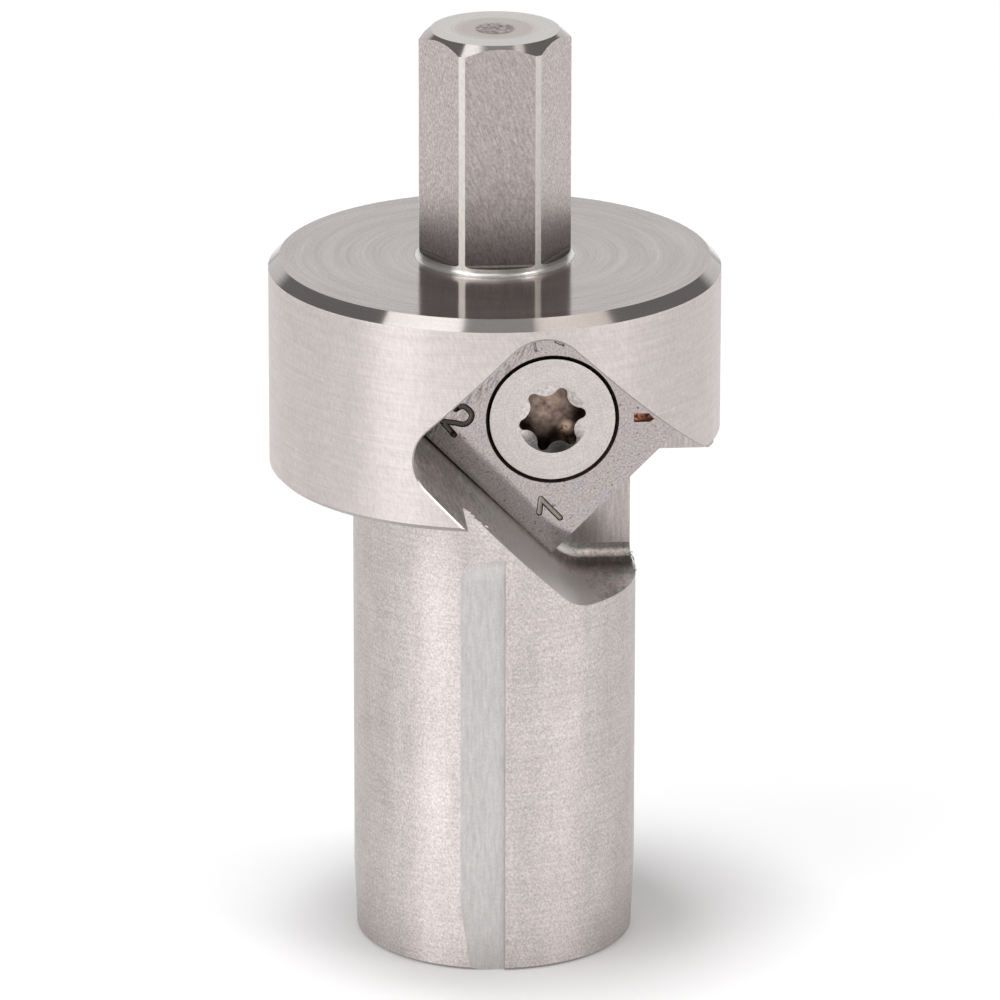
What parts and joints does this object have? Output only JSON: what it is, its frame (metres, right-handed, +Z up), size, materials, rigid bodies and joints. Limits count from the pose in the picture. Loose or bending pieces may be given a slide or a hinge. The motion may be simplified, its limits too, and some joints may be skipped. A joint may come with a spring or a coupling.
{
  "type": "chamfering reamer",
  "caption": "Chamfering reamer with a hexagonal drive shank, a round stop flange, a plain pilot and a square screwed-on knife in a slanting pocket.",
  "frame": {"origin": "centre of the pilot's foot", "axes": "+Z up along the axis of rotation, towards the drive shank; the knife's cutting face lies on the plane Y = 0 and looks towards -Y"},
  "size_m": [0.0318, 0.0318, 0.0664],
  "materials": {
    "turned_steel": "fine-turned and milled, satin",
    "ground_carbide": "ground",
    "screw_steel": "polished, dark in the recess"
  },
  "bodies": {
    "root": {"tool_body": "turned_steel", "cutting_insert": "ground_carbide", "insert_screw": "screw_steel"}
  },
  "joints": []
}
